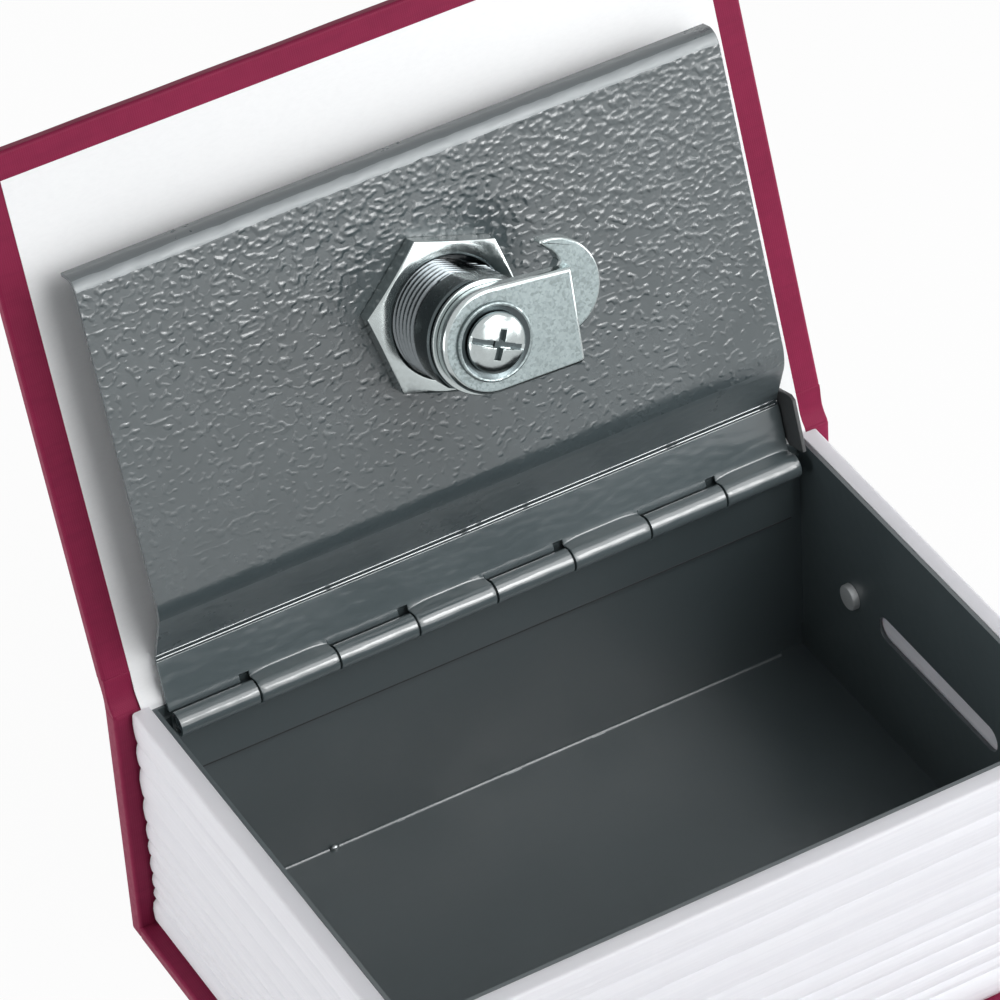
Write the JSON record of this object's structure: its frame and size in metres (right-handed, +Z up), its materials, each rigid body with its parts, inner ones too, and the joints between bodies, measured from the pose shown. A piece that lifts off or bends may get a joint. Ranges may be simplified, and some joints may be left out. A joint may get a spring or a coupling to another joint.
{
  "type": "book diversion safe",
  "caption": "Box safe disguised as a cloth-covered hardback book, with an opening cover, a hinged steel lid under it and a cam lock on the lid.",
  "frame": {"origin": "centre of the back board's underside, on the surface the safe stands on", "axes": "+Z up from the back board, +Y towards the spine, -Y towards the fore edge, +X along the spine towards the walled end with the long slot. The cover and the lid stand open as in the picture."},
  "size_m": [0.115, 0.1076, 0.1203],
  "materials": {
    "board": "grey pressed board, hidden inside the cloth",
    "cloth": "maroon book cloth with a fine weave",
    "paper": "smooth white endpaper",
    "page_plastic": "white moulded plastic, satin",
    "painted_steel": "dark slate grey hammered paint",
    "zinc": "bright plated zinc",
    "rivet_aluminium": "dull rolled aluminium"
  },
  "bodies": {
    "case": {"back_board": "board", "spine_board": "board", "case_cloth": "cloth", "joint_cloth": "cloth", "page_surround": "page_plastic", "steel_tray": "painted_steel", "wall_rivet_tail": "rivet_aluminium", "wall_rivet_head": "rivet_aluminium", "lock_keeper": "painted_steel", "tray_hinge_leaf": "painted_steel", "hinge_pin": "painted_steel"},
    "lid": {"lid_plate": "painted_steel", "lid_hinge_leaf": "painted_steel", "lock_housing": "zinc", "lock_nut": "zinc"},
    "lock_core": {"lock_plug": "zinc", "stop_washer": "zinc", "lock_cam": "zinc", "dish_washer": "zinc", "cam_screw": "zinc"},
    "cover": {"front_board": "board", "cover_cloth": "cloth", "front_endpaper": "paper"}
  },
  "joints": [
    {"name": "lid_hinge", "type": "hinge", "parent": "case", "child": "lid", "pos_m": [0, 0.03445, 0.04], "axis": [1, 0, 0], "range_deg": [0, 108.7]},
    {"name": "cover_hinge", "type": "hinge", "parent": "case", "child": "cover", "pos_m": [0, 0.0401, 0.0441], "axis": [1, 0, 0], "range_deg": [0, 108.7]},
    {"name": "lock_turn", "type": "hinge", "parent": "lid", "child": "lock_core", "pos_m": [0.0004, 0.04865, 0.08196], "axis": [0, -0.9472, 0.3206], "range_deg": [0, 90]}
  ],
  "couplings": [
    {"joint": "cover_hinge", "follows": "lid_hinge", "ratio": 1}
  ]
}
